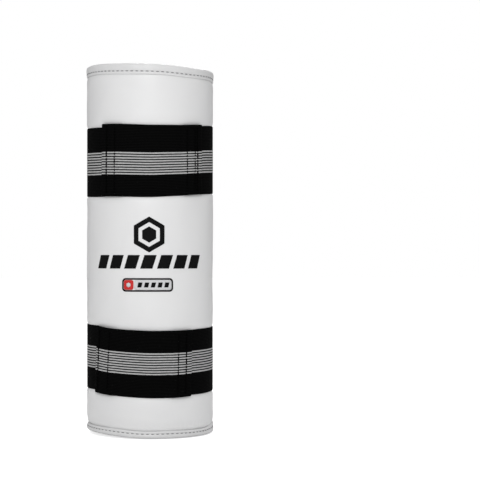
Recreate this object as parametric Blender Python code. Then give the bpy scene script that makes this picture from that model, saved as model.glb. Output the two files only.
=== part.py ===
"""Forearm guard: a padded sleeve wrapped into a tube, open along the back where two flaps overlap, with edge binding all round and two elastic straps.

Units are millimetres in the tables below and metres in the scene. +Z is up the forearm, the front faces -Y and the origin is the middle of the bottom rim.
Every padded panel is drawn flat, as (a, z), where a is the distance round the arm from the front centre line, and then wrapped at its own radius."""

import math

import bpy
import numpy as np
from mathutils import Vector
from mathutils.geometry import delaunay_2d_cdt

MM = 0.001
HEIGHT = 260.0
R = 45.5  # outer radius of the sleeve
HINGE = 110.0  # degrees from the front centre line to each flap's fold
GAP = 0.3
FOLD = 0.2  # half of the slit at each fold
COVER = 1.0
LINING = 0.8
FRONT_FOAM = 9.0
FLAP_FOAM = 6.0
BIND = 0.9  # thickness of the binding tape
BIND_WIDTH = 7.0
BIND_MID = 2.55  # the binding's middle lies this far under the outer radius
EDGE_IN = 2.0  # cover and lining stop this far inside the edge
FOAM_IN = 10.0
FULL_IN = 17.0  # the padding has its full thickness from here
SEAM_IN = 5.0
THREAD = 0.2
STRAP = 1.5
LIFT = 18.0  # degrees of each end of a front strip that lie over the back strip
OFF = 0.6  # from the padded cover to the straps
INNER_DROP = 9.0  # how far the inner flap's end lies under the outer flap
STEP = 10.0  # degrees between the panels' columns

# Outlines of the flaps: degrees from the front centre line, height. From one end of the fold to the other.
OUTER_FLAP = [
    (110, 0), (120, 0), (130, 0.7), (144, 2.6), (154, 5.0), (162, 7.6), (169, 10.8), (176, 17), (181.5, 25), (185, 36),
    (187.5, 52), (189.5, 70), (191.0, 90), (192.2, 108), (193.2, 122), (195.8, 129.5),
    (193.6, 140), (190.8, 156), (187.6, 176), (184.0, 194), (180.4, 208), (177.2, 219), (173.2, 229.5), (167.6, 239.5),
    (160, 247.2), (151, 252), (142, 255), (131, 257.9), (120, 259.5), (110, 260),
]  # fmt: skip
LAP = 15  # index in OUTER_FLAP where the upper binding's end laps the lower one
INNER_FLAP = [
    (-110, 260), (-119, 259.4), (-128, 257.6), (-137, 255.2), (-146, 252), (-154, 247.8), (-162, 241), (-169, 231.5),
    (-175, 220), (-179.5, 206), (-183, 190), (-185.2, 172), (-186.4, 150), (-186.6, 130), (-186.4, 110), (-186, 88),
    (-185, 66), (-183, 48), (-180, 34), (-175.5, 24), (-168, 17.2), (-159, 12.4), (-149, 8.2), (-138, 4.8), (-128, 2.2),
    (-119, 0.5), (-110, 0),
]  # fmt: skip

COLOURS = {
    "white_pu": ((0.83, 0.835, 0.86), 0.42),
    "black_fabric": ((0.012, 0.012, 0.014), 0.9),
    "foam": ((0.32, 0.32, 0.33), 0.85),
    "black_elastic": ((0.01, 0.01, 0.011), 0.85),
    "black_thread": ((0.008, 0.008, 0.008), 0.7),
    "grey_thread": ((0.12, 0.12, 0.13), 0.7),
    "black_film": ((0.012, 0.012, 0.012), 0.5),
    "grey_film": ((0.35, 0.35, 0.36), 0.5),
}


def material(name):
    found = bpy.data.materials.get(name)
    if not found:
        found = bpy.data.materials.new(name)
        found.use_nodes = True
        shader = found.node_tree.nodes["Principled BSDF"]
        colour, rough = COLOURS[name]
        shader.inputs["Base Color"].default_value = (*colour, 1)
        shader.inputs["Roughness"].default_value = rough
        found.diffuse_color = (*colour, 1)
    return found


def point(degrees, radius, z):
    turn = math.radians(degrees)
    return (radius * math.sin(turn), -radius * math.cos(turn), z)


FOLD_RIGHT = point(HINGE, R, HEIGHT / 2)
FOLD_LEFT = point(-HINGE, R, HEIGHT / 2)
MIDDLE = (0, 0, 0)


def add(name, points, faces, slot, origin=MIDDLE):
    """A solid from points in millimetres, with its own origin at `origin`."""
    mesh = bpy.data.meshes.new(name)
    at = np.array(origin, float)
    points = np.array(points, float)
    volume = sum(
        float(np.dot(points[face[0]], np.cross(points[p], points[q])))
        for face in faces
        for p, q in zip(face[1:-1], face[2:])
    )
    if volume < 0:
        faces = [tuple(reversed(face)) for face in faces]
    mesh.from_pydata(((points - at) * MM).tolist(), [], faces)
    mesh.validate()
    mesh.shade_smooth()
    mesh.materials.append(material(slot))
    obj = bpy.data.objects.new(name, mesh)
    obj.location = at * MM
    bpy.context.scene.collection.objects.link(obj)
    return obj


def smooth(t):
    t = np.clip(t, 0, 1)
    return t * t * (3 - 2 * t)


def front_radius(degrees):
    return np.full(np.shape(degrees), R)


def inner_radius(degrees):
    return R - INNER_DROP * smooth((np.abs(degrees) - 112) / 53)


def normals(curve):
    """Unit normals on the left of a curve, level where it starts or ends on a rim."""
    along = np.gradient(curve, axis=0)
    for i in (0, -1):
        if not 1 < curve[i, 1] < HEIGHT - 1:
            along[i, 1] = 0
    along /= np.linalg.norm(along, axis=1)[:, None]
    return np.stack([-along[:, 1], along[:, 0]], axis=1)


def distance(points, curves):
    best = np.full(len(points), 1e9)
    for curve in curves:
        for p, q in zip(curve[:-1], curve[1:]):
            d = q - p
            t = np.clip((points - p) @ d / (d @ d), 0, 1)
            best = np.minimum(best, np.linalg.norm(points - p - t[:, None] * d, axis=1))
    return best


def inside(points, polygon):
    x, y = points[:, 0], points[:, 1]
    hit = np.zeros(len(points), bool)
    for (x0, y0), (x1, y1) in zip(polygon, np.roll(polygon, -1, axis=0)):
        cross = (y0 > y) != (y1 > y)
        with np.errstate(divide="ignore", invalid="ignore"):
            hit ^= cross & (x < (x1 - x0) * (y - y0) / (y1 - y0) + x0)
    return hit


def triangulate(curves, unit):
    """The flat panel's points, their distance from the bound edge, and its triangles, with a flag for those over the foam."""
    levels = [EDGE_IN, 7.5, FOAM_IN, 12.5, FULL_IN]
    rings = {e: [c + e * normals(c) for c in curves] for e in levels}
    rim = np.concatenate(rings[EDGE_IN])
    foam = np.concatenate(rings[FOAM_IN])
    rows = np.linspace(FULL_IN + 14, HEIGHT - FULL_IN - 14, 10)
    low, high = rim[:, 0].min(), rim[:, 0].max()
    ends = sorted({round(float(c[i, 0]), 6) for c in curves for i in (0, -1)})
    points = [tuple(p) for e in levels for ring in rings[e] for p in ring]
    points += [(a, z) for a in ends for z in rows]
    columns = np.arange(-20, 21) * unit * math.radians(STEP)
    grid = np.array([(a, z) for a in columns for z in rows if low < a < high])
    keep = (distance(grid, curves) > FULL_IN + 3) & inside(grid, rim)
    for a in ends:
        keep &= np.abs(grid[:, 0] - a) > 3
    points += [tuple(p) for p in grid[keep]]

    def loop(polygon):
        """Edges round a closed outline, through every point that lies on its straight sides."""
        found = []
        for p, q in zip(polygon, np.roll(polygon, -1, axis=0)):
            along = [tuple(p), tuple(q)]
            if abs(p[0] - q[0]) < 1e-6 and round(float(p[0]), 6) in ends:
                on = [s for s in points if abs(s[0] - p[0]) < 1e-6]
                lo, hi = sorted((p[1], q[1]))
                along += [s for s in on if lo < s[1] < hi]
                along.sort(key=lambda s: s[1], reverse=bool(q[1] < p[1]))
            found += list(zip(along[:-1], along[1:]))
        return found

    at = {}
    for p in points:
        at.setdefault(tuple(np.round(p, 5)), len(at))
    name = {k: i for k, i in at.items()}
    edges = [
        (name[tuple(np.round(p, 5))], name[tuple(np.round(q, 5))])
        for polygon in (rim, foam)
        for p, q in loop(polygon)
    ]
    flat = [Vector(k) for k in at]
    found = delaunay_2d_cdt(flat, edges, [], 0, 1e-6)
    out = np.array([tuple(v) for v in found[0]])
    faces = np.array([tuple(f) for f in found[2]])
    p, q, s = (out[faces[:, i]] for i in range(3))
    turn = (q[:, 0] - p[:, 0]) * (s[:, 1] - p[:, 1]) - (q[:, 1] - p[:, 1]) * (s[:, 0] - p[:, 0])
    faces[turn < 0] = faces[turn < 0][:, ::-1]
    centres = out[faces].mean(axis=1)
    faces = faces[inside(centres, rim) & (np.abs(turn) > 1e-3)]
    padded = inside(out[faces].mean(axis=1), foam)
    return out, distance(out, curves), faces, padded


def shell(name, flat, faces, unit, outer, inner, slot, origin):
    """A closed solid between two radii over some triangles of a flat panel."""
    used = np.unique(faces)
    index = {v: i for i, v in enumerate(used)}
    count = len(used)
    degrees = np.degrees(flat[used, 0] / unit)
    points = [point(t, r, z) for t, r, z in zip(degrees, outer[used], flat[used, 1])]
    points += [point(t, r, z) for t, r, z in zip(degrees, inner[used], flat[used, 1])]
    sides = set()
    solid = []
    for face in faces:
        i = [index[v] for v in face]
        solid.append(tuple(i))
        solid.append(tuple(v + count for v in reversed(i)))
        sides |= {(i[0], i[1]), (i[1], i[2]), (i[2], i[0])}
    for p, q in sorted(sides):
        if (q, p) not in sides:
            solid += [(q, p, p + count), (q, p + count, q + count)]
    return add(name, points, solid, slot, origin)


def panel(name, curves, unit, radius, thick, origin):
    """Cover, foam and lining of one padded panel."""
    flat, edge, faces, padded = triangulate(curves, unit)
    base = radius(np.degrees(flat[:, 0] / unit))
    rise = smooth((edge - 7.5) / (FULL_IN - 7.5))
    cover = base - 1.5 + 1.5 * rise
    lining = base - 2.8 + (2.8 - COVER - 2 * GAP - thick) * rise
    shell(f"{name}_cover", flat, faces, unit, cover, cover - COVER, "white_pu", origin)
    shell(f"{name}_foam", flat, faces[padded], unit, cover - COVER - GAP, lining + GAP, "foam", origin)
    shell(f"{name}_lining", flat, faces, unit, lining, lining - LINING, "black_fabric", origin)


def sweep(name, path, normal, section, unit, radius, slot, origin):
    """A closed section of (distance in from the edge, height over the binding's middle) carried along an edge."""
    points = []
    for p, n in zip(path, normal):
        for d, h in section:
            a, z = p + d * n
            degrees = math.degrees(a / unit)
            points.append(point(degrees, float(radius(degrees)) - BIND_MID + h, z))
    k, last = len(section), len(path) - 1
    faces = []
    for i in range(last):
        for j in range(k):
            m = (j + 1) % k
            faces.append((i * k + j, i * k + m, (i + 1) * k + m, (i + 1) * k + j))
    faces.append(tuple(reversed(range(k))))
    faces.append(tuple(last * k + j for j in range(k)))
    return add(name, points, faces, slot, origin)


def u_section():
    """The folded tape: flat on the very edge, with a slot that holds the cover's and the lining's edges."""
    half = BIND_MID - 1.5 + GAP + BIND
    slot = half - BIND
    return [
        (BIND_WIDTH, half), (BIND_WIDTH, slot), (EDGE_IN - 0.4, slot), (EDGE_IN - 0.4, -slot), (BIND_WIDTH, -slot),
        (BIND_WIDTH, -half), (1.1, -half), (0.3, 0.75 - half), (0, -1.0), (0, 1.0), (0.3, half - 0.75), (1.1, half),
    ]  # fmt: skip


def thread_section():
    top = BIND_MID - 1.5 + 1.5 * GAP + BIND + THREAD
    return [(SEAM_IN, top + THREAD), (SEAM_IN + THREAD, top), (SEAM_IN, top - THREAD), (SEAM_IN - THREAD, top)]


def trimmed(path, start, end):
    """The path without `start` and `end` millimetres at its ends."""
    out = path.copy()
    for i, j, cut in ((0, 1, start), (-1, -2, end)):
        d = out[j] - out[i]
        out[i] += d / np.linalg.norm(d) * cut
    return out


def bind(name, curve, unit, radius, origin, part=slice(None), start=0.0, end=0.0):
    path, normal = curve[part], normals(curve)[part]
    sweep(f"{name}_binding", trimmed(path, start, end), normal, u_section(), unit, radius, "white_pu", origin)
    sweep(f"{name}_seam_thread", trimmed(path, 1.2, 1.2), normal, thread_section(), unit, radius, "grey_thread", origin)


def band(name, stations, thick, slot, origin=MIDDLE):
    """A strip round the arm. Each station: degrees, inner radius, low edge, high edge."""
    points = []
    for degrees, radius, low, high in stations:
        points += [
            point(degrees, radius, low), point(degrees, radius + thick, low),
            point(degrees, radius + thick, high), point(degrees, radius, high),
        ]  # fmt: skip
    faces = [(3, 2, 1, 0)]
    for i in range(0, len(points) - 4, 4):
        faces += [(i + j, i + (j + 1) % 4, i + 4 + (j + 1) % 4, i + 4 + j) for j in range(4)]
    last = len(points) - 4
    faces.append((last, last + 1, last + 2, last + 3))
    return add(name, points, faces, slot, origin)


def wrap_radius(tip):
    """The radius of a taut strap at any angle: the convex outline of the sleeve, whose outer flap ends at `tip` degrees."""
    outline = [point(t, R, 0)[:2] for t in np.arange(-112, tip + 0.01, 1.0)]
    outline += [point(t, float(inner_radius(t)), 0)[:2] for t in np.arange(-160, -112, 1.0)]
    outline = sorted(outline)
    sides = []
    for run in (outline, outline[::-1]):
        side = []
        for p in run:
            while len(side) > 1 and (side[-1][0] - side[-2][0]) * (p[1] - side[-2][1]) <= (side[-1][1] - side[-2][1]) * (p[0] - side[-2][0]):
                side.pop()
            side.append(p)
        sides += side[:-1]
    hull = np.array(sides)

    def radius(degrees):
        ray = np.array(point(degrees, 1, 0)[:2])
        best = R
        for p, q in zip(hull, np.roll(hull, -1, axis=0)):
            m = np.array([ray, p - q]).T
            if abs(np.linalg.det(m)) > 1e-12:
                t, s = np.linalg.solve(m, p)
                if t > 0 and -1e-9 <= s <= 1 + 1e-9:
                    best = min(best, t)
        return best

    return radius


def strap(name, front, back, tip, rows):
    """One elastic ring: a front strip sewn over both ends of the back strip, with its rows of stitches.

    front and back are tables of (degrees, low edge, high edge)."""
    taut = wrap_radius(tip)
    front, back = np.array(front, float), np.array(back, float)
    ends = front[0, 0], front[-1, 0]
    turn = np.arange(math.ceil(back[0, 0] / STEP) * STEP, back[-1, 0], STEP)
    turn = np.unique(np.concatenate([[back[0, 0], tip, back[-1, 0]], turn]))
    rings = [
        (t, taut(t) + OFF, np.interp(t, back[:, 0], back[:, 1]), np.interp(t, back[:, 0], back[:, 2]))
        for t in turn
    ]  # fmt: skip
    band(f"{name}_back_strap", rings, STRAP, "black_elastic")
    turn = np.unique(np.concatenate([np.arange(-40, 41, STEP), ends, np.array([LIFT, LIFT + 8]) + ends[0], ends[1] - np.array([LIFT, LIFT + 8])]))
    turn = turn[(turn >= ends[0]) & (turn <= ends[1])]
    over = STRAP + 0.4
    rings = []
    for t in turn:
        lift = 1 - smooth((min(t - ends[0], ends[1] - t) - LIFT) / 8)
        rings.append((t, R + OFF + over * lift, np.interp(t, front[:, 0], front[:, 1]), np.interp(t, front[:, 0], front[:, 2])))
    band(f"{name}_front_strap", rings, STRAP, "black_elastic")
    for label, t, width in rows:
        low, high = (np.interp(t, front[:, 0], front[:, i]) for i in (1, 2))
        radius = R + OFF + over + STRAP + GAP
        half = math.degrees(width / 2 / radius)
        band(
            f"{name}_{label}_stitch_row",
            [(t - half, radius, low + 2, high - 2), (t + half, radius, low + 2, high - 2)],
            width,
            "black_thread",
        )


def arc(unit, degrees, z):
    return np.array([(math.radians(t) * unit, z) for t in degrees], float)


def outline(table, unit):
    return np.array([(math.radians(t) * unit, z) for t, z in table], float)


def held(curve, sign):
    """Moves a flap's two ends off the fold by half of the slit."""
    out = curve.copy()
    out[[0, -1], 0] += sign * FOLD
    return out


for old in list(bpy.data.objects):
    bpy.data.objects.remove(old, do_unlink=True)

turns = np.arange(-HINGE, HINGE + 1, STEP)
bottom = arc(R, turns, 0.0)
top = arc(R, turns[::-1], HEIGHT)
for curve in (bottom, top):
    curve[np.argmin(curve[:, 0]), 0] += FOLD
    curve[np.argmax(curve[:, 0]), 0] -= FOLD
panel("front", [bottom, top], R, front_radius, FRONT_FOAM, MIDDLE)
bind("front_bottom", bottom, R, front_radius, MIDDLE)
bind("front_top", top, R, front_radius, MIDDLE)

outer = held(outline(OUTER_FLAP, R), 1)
panel("outer_flap", [outer], R, front_radius, FLAP_FOAM, FOLD_RIGHT)
bind("outer_flap_lower", outer, R, front_radius, FOLD_RIGHT, slice(0, LAP + 1), end=0.25)
bind("outer_flap_upper", outer, R, front_radius, FOLD_RIGHT, slice(LAP, None), start=0.25)

INNER_UNIT = 37.5
inner_curve = held(outline(INNER_FLAP, INNER_UNIT), -1)
panel("inner_flap", [inner_curve], INNER_UNIT, inner_radius, FLAP_FOAM, FOLD_LEFT)
bind("inner_flap", inner_curve, INNER_UNIT, inner_radius, FOLD_LEFT)

strap(
    "upper",
    [(-42.8, 168.6, 219.1), (-20, 168.0, 218.3), (0, 167.6, 217.7), (20, 168.2, 217.9), (46.1, 169.7, 218.1)],
    [(29.0, 171.5, 215.5), (60, 171.6, 219.5), (90, 172.3, 220.8), (180, 171.4, 220.0), (270, 170.2, 219.0), (300, 170.0, 218.4), (334.0, 170.5, 216.5)],
    188.0,
    [("left_outer", -37.6, 0.7), ("left_inner", -29.8, 0.4), ("right_outer", 40.5, 0.7), ("right_inner", 30.3, 0.4)],
)
strap(
    "lower",
    [(-49.7, 30.4, 76.8), (-20, 29.4, 75.2), (0, 28.9, 74.7), (20, 29.0, 74.9), (35.7, 29.4, 75.2)],
    [(19.0, 31.4, 73.0), (45, 30.0, 74.6), (90, 29.4, 75.2), (180, 30.4, 76.6), (270, 31.6, 77.8), (300, 31.4, 77.2), (327.0, 32.0, 74.8)],
    190.6,
    [("left_outer", -46.2, 0.7), ("left_inner", -36.5, 0.4), ("right_outer", 31.0, 0.7), ("right_inner", 23.6, 0.4)],
)  # fmt: skip

FILM = 0.25
OVER = R + GAP


def film(name, low_turn, high_turn, low, high, slot, origin=MIDDLE, radius=None, ends=0.0):
    """A thin transferred mark, with its ends drawn in by `ends` millimetres of height."""
    turn = np.linspace(low_turn, high_turn, max(2, round(abs(high_turn - low_turn) / 5)) + 1)
    stations = []
    for i, t in enumerate(turn):
        cut = ends if i in (0, len(turn) - 1) else 0
        base = radius(t) + GAP + 0.05 if radius else OVER
        stations.append((t, float(base), low + cut, high - cut))
    return band(name, stations, FILM, slot, origin)


film("front_emblem", -15.5, 13.7, 129.8, 153.4, "black_film", ends=7.0)
film("front_bar", -52.9, 50.4, 118.0, 127.4, "black_film")
film("front_badge", -24, 19.0, 102.4, 110.8, "grey_film", ends=1.5)
film("outer_flap_stripe", 145.4, 150.2, 82.4, 161.5, "black_film", FOLD_RIGHT)
film("inner_flap_label", -161, -149, 104, 138, "grey_film", FOLD_LEFT, inner_radius, 3.0)
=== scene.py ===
"""Forearm guard: padded sleeve with overlapping flaps, edge binding and two ribbed elastic straps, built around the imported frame.

Tables are in millimetres and degrees round the arm from the front centre line, positive towards +X. a is the distance round the arm."""

import math

import bpy
import numpy as np
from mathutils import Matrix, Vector, kdtree, noise
from mathutils.geometry import delaunay_2d_cdt


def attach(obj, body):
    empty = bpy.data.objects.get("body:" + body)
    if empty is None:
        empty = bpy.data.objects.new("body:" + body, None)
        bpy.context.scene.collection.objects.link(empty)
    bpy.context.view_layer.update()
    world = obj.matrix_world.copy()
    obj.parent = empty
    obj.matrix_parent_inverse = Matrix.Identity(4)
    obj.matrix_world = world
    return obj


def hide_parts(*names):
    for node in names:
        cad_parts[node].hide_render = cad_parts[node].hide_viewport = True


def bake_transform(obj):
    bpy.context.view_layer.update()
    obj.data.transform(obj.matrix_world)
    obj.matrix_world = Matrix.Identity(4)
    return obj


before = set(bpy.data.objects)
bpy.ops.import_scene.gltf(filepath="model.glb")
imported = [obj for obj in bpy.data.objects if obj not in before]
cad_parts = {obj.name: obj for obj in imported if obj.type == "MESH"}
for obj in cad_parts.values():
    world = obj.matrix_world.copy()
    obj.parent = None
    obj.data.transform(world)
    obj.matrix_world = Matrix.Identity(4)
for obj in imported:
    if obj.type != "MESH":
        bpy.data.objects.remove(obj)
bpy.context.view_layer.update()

MM = 0.001
H = 260.0
R = 45.5
PRESS = 1.6  # how far a strap sinks into the padding
MID = 2.05  # how far the middle of the edge tape lies inside the cover
W_BIND = 7.6
PITCH = 3.6

UPPER_EDGE = [
    (198.2, 132.2), (196.3, 140), (193.8, 150), (191.2, 160), (187.6, 176), (184.0, 194), (180.6, 208), (177.4, 218.6),
    (174.0, 225.8), (170.4, 233), (165.4, 241), (157, 247.6), (148, 251.8), (140, 254.2), (131, 256.0), (120, 257.4),
    (108, 258.2), (96, 258.5), (84, 258.7), (72, 258.8), (60, 258.8), (48, 258.7), (36, 258.8), (24, 259.2),
    (12, 259.7), (0, 260),
]
LOWER_EDGE = [
    (0, 0), (12, 0), (24, 0), (36, 0), (48, 0), (60, 0), (72, 0), (84, 0), (96, 0), (108, 0.1), (120, 0.6), (130, 1.6),
    (144, 4.2), (154, 6.8), (162, 9.4), (169, 12.6), (176, 18.0), (181.5, 25.6), (185.6, 35), (188, 52), (189.6, 70),
    (191.0, 88), (191.9, 105), (192.7, 120), (193.4, 133),
]
RIGHT_EDGE = LOWER_EDGE[:-2] + [(192.6, 118), (193.6, 127), (195.0, 133), (195.5, 138), (194.6, 145)] + UPPER_EDGE[3:]
LEFT_EDGE = [
    (0, 260), (-12, 260.4), (-24, 260.8), (-36, 261.2), (-48, 261.7), (-60, 262.0), (-72, 262.2), (-84, 262.3),
    (-96, 262.3), (-108, 261.9), (-119, 260.7), (-128, 258.9), (-137, 256.7), (-146, 253.8), (-154, 249.6),
    (-160, 244.8), (-165.5, 238.2), (-171, 229.4), (-175.4, 220), (-179.8, 206), (-183, 190), (-185.2, 172),
    (-186.4, 150), (-186.6, 130), (-186.4, 110), (-186.2, 88), (-185.8, 66), (-184.8, 50), (-182.8, 38), (-179, 29.4),
    (-174, 24.6), (-167, 21.0), (-158, 17.2), (-150, 14.0), (-143, 11.3), (-136, 8.6), (-128, 6.0), (-119, 3.9), (-108, 2.5),
    (-96, 1.9), (-84, 1.9), (-72, 1.9), (-60, 1.8), (-48, 1.5), (-36, 1.1), (-24, 0.6), (-12, 0.15), (0, 0),
]

# Each strap: its low and high edge at some angles, the angles of the front strip's ends, and where the outer flap ends under it.
STRAPS = {
    "upper": {
        "edges": [
            (-200, 170.4, 217.4), (-180, 170.2, 217.0), (-150, 169.8, 217.4), (-90, 169.3, 218.4), (-60, 168.4, 217.4), (-43, 168.2, 216.9),
            (46, 169.8, 217.2), (60, 170.4, 218.7), (90, 171.4, 220.1), (140, 171.0, 218.4), (180, 170.2, 217.0), (200, 169.9, 216.9),
        ],
        "strip": [
            (-46.5, 168.6, 219.3), (-30, 168.1, 218.9), (0, 167.4, 217.7), (30, 168.7, 217.9), (51.5, 170.2, 218.9),
        ],
        "front": (-46.5, 51.5), "tip": 187.8, "band": (0.376, 0.702), "back_band": (0.352, 0.692), "lean": (0.4, 0.0),
        "rows": [(-40.3, 0.42, 2.5), (-31.8, 0.30, 2.2), (45.1, 0.42, 2.5), (42.1, 0.26, 2.2), (33.5, 0.30, 2.2)],
    },
    "lower": {
        "edges": [
            (-200, 33.8, 79.4), (-180, 34.2, 79.6), (-150, 33.9, 79.5), (-90, 31.9, 78.2), (-60, 32.6, 77.6), (-45, 33.0, 77.6),
            (36, 29.7, 75.0), (45, 29.8, 75.5), (90, 30.3, 76.4), (130, 31.9, 77.7), (180, 34.2, 79.6), (200, 34.2, 79.6),
        ],
        "strip": [
            (-56, 31.0, 77.8), (-42, 30.0, 76.5), (-30, 29.4, 75.6), (0, 28.2, 74.7), (20, 28.3, 74.9), (38.8, 29.1, 75.4),
        ],
        "front": (-54.6, 38.6), "tip": 190.4, "band": (0.326, 0.666), "back_band": (0.318, 0.668), "lean": (2.7, 1.0),
        "rows": [(-50.4, 0.42, 2.5), (-38.4, 0.30, 2.2), (32.5, 0.42, 2.5), (24.8, 0.30, 2.2)],
    },
}  # fmt: skip


def smooth(t):
    t = np.clip(t, 0, 1)
    return t * t * (3 - 2 * t)


def base(degrees):
    """The outer radius before any detail. The inner flap spirals in under the outer one."""
    d = np.asarray(degrees, float)
    return R - 9.0 * smooth((-d - 112) / 53)


TURN = np.arange(0, 230.1, 0.5)
INNER_RUN = np.concatenate([[0], np.cumsum((base(-TURN)[1:] + base(-TURN)[:-1]) / 2 * math.radians(0.5))])


def arc_of(degrees):
    d = np.asarray(degrees, float)
    return np.where(d >= 0, np.radians(d) * R, -np.interp(-d, TURN, INNER_RUN))


def deg_of(a):
    a = np.asarray(a, float)
    return np.where(a >= 0, np.degrees(a / R), -np.interp(-a, INNER_RUN, TURN))


def place(a, z, r):
    """Points in metres."""
    t = np.radians(deg_of(a))
    return np.stack([r * np.sin(t), -r * np.cos(t), np.broadcast_to(z, np.shape(t))], axis=-1) * MM


def rnd(points, scale, seed=0.0):
    """Smooth noise from -1 to 1 at points in metres, with features of `scale` millimetres."""
    shift = Vector((seed * 7.31, seed * 3.17, seed * 5.77))
    k = 1000.0 / scale
    return np.array([noise.noise(Vector(p) * k + shift) for p in np.asarray(points).reshape(-1, 3)])


def strap_edges(key, degrees, which="edges"):
    table = np.array(STRAPS[key][which])
    degrees = np.asarray(degrees, float)
    total, out = 0.0, [0.0, 0.0]
    for shift in (-10.5, -7, -3.5, 0, 3.5, 7, 10.5):
        weight = 1 + math.cos(math.pi * shift / 14)
        total += weight
        at = np.clip(degrees + shift, 2 * degrees - table[-1, 0], 2 * degrees - table[0, 0]) if which == "strip" else degrees + shift
        for k in (0, 1):
            out[k] = out[k] + weight * np.interp(at, table[:, 0], table[:, k + 1])
    return out[0] / total, out[1] / total


def press(a, z):
    """How far the straps press the padding in, in millimetres, and the share of that from 0 to 1.

    At the front the padding closes round the strap's edge. On the flaps it slopes down to it."""
    d = deg_of(a)
    share = np.zeros(np.broadcast(d, z).shape)
    slope = np.zeros(share.shape)
    for key in STRAPS:
        low, high = strap_edges(key, d)
        under = (d > STRAPS[key]["front"][0] - 1) & (d < STRAPS[key]["front"][1] + 1)
        low_strip, high_strip = strap_edges(key, d, "strip")
        low, high = np.where(under, np.minimum(low, low_strip), low), np.where(under, np.maximum(high, high_strip), high)
        share = np.maximum(share, smooth((z - low + 1.8) / 4.4) * smooth((high + 1.8 - z) / 4.4))
        slope = np.maximum(slope, smooth((z - low + 8.5) / 10) * smooth((high + 6.5 - z) / 9))
    inner = 1 - smooth((-d - 124) / 18)
    flap = smooth((np.abs(d) - 118) / 26) * (1 - 0.55 * smooth((d - 178) / 14)) + 0.42 * (1 - smooth((np.abs(d) - 50) / 28))
    return PRESS * share * inner + (1.5 * flap * inner + 0.9 * flap * (1 - inner)) * slope, share * inner


def resample(table, step, closed_form=None):
    """A smooth curve through the table's points as (a, z), with a point about every `step` millimetres."""
    p = np.stack([arc_of([t for t, _ in table]), np.array([z for _, z in table], float)], axis=1)
    p = np.concatenate([[2 * p[0] - p[1]], p, [2 * p[-1] - p[-2]]])
    out = []
    for i in range(1, len(p) - 2):
        p0, p1, p2, p3 = p[i - 1 : i + 3]
        d01, d12, d23 = (max(np.linalg.norm(v), 1e-6) ** 0.5 for v in (p1 - p0, p2 - p1, p3 - p2))
        m1 = (p2 - p1) / d12 - (p2 - p0) / (d01 + d12) + (p1 - p0) / d01
        m2 = (p3 - p2) / d23 - (p3 - p1) / (d12 + d23) + (p2 - p1) / d12
        m1, m2 = m1 * d12, m2 * d12
        for t in np.linspace(0, 1, 24, endpoint=False):
            out.append((2 * t**3 - 3 * t**2 + 1) * p1 + (t**3 - 2 * t**2 + t) * m1 + (3 * t**2 - 2 * t**3) * p2 + (t**3 - t**2) * m2)
    out.append(p[-2])
    out = np.array(out)
    run = np.concatenate([[0], np.cumsum(np.linalg.norm(np.diff(out, axis=0), axis=1))])
    even = np.linspace(0, run[-1], max(2, round(run[-1] / step)) + 1)
    return np.stack([np.interp(even, run, out[:, i]) for i in (0, 1)], axis=1)


def tangents(curve):
    t = np.gradient(curve, axis=0)
    for i in (0, -1):
        if abs(curve[i, 0]) < 1e-6:
            t[i, 1] = 0
    return t / np.linalg.norm(t, axis=1)[:, None]


def normals(curve):
    t = tangents(curve)
    return np.stack([-t[:, 1], t[:, 0]], axis=1)


def nearest(points, curve):
    """Distance to a curve and the run along it, for many points."""
    seg = np.diff(curve, axis=0)
    length = np.linalg.norm(seg, axis=1)
    run = np.concatenate([[0], np.cumsum(length)])[:-1]
    best, where = np.empty(len(points)), np.empty(len(points))
    for i in range(0, len(points), 2000):
        d = points[i : i + 2000, None] - curve[None, :-1]
        t = np.clip((d * seg).sum(-1) / (length**2), 0, 1)
        gap = np.linalg.norm(d - t[..., None] * seg, axis=-1)
        k = gap.argmin(axis=1)
        rows = np.arange(len(k))
        best[i : i + 2000] = gap[rows, k]
        where[i : i + 2000] = run[k] + t[rows, k] * length[k]
    return best, where


def bend_of(curve):
    """Curvature along a curve, smoothed, in 1/mm."""
    t = tangents(curve)
    step = np.linalg.norm(np.diff(curve, axis=0), axis=1).mean()
    k = np.abs(np.gradient(np.unwrap(np.arctan2(t[:, 1], t[:, 0])))) / step
    kernel = np.ones(9) / 9
    return np.convolve(np.pad(k, 4, mode="edge"), kernel, mode="valid")


def inside(points, polygon):
    hit = np.zeros(len(points), bool)
    x, y = points[:, 0], points[:, 1]
    for (x0, y0), (x1, y1) in zip(polygon, np.roll(polygon, -1, axis=0)):
        if y0 == y1:
            continue
        cross = (y0 > y) != (y1 > y)
        hit ^= cross & (x < (x1 - x0) * (y - y0) / (y1 - y0) + x0)
    return hit


EDGES = {"right": resample(RIGHT_EDGE, 1.0), "left": resample(LEFT_EDGE, 1.0)}
BENDS = {k: bend_of(c) for k, c in EDGES.items()}


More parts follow.
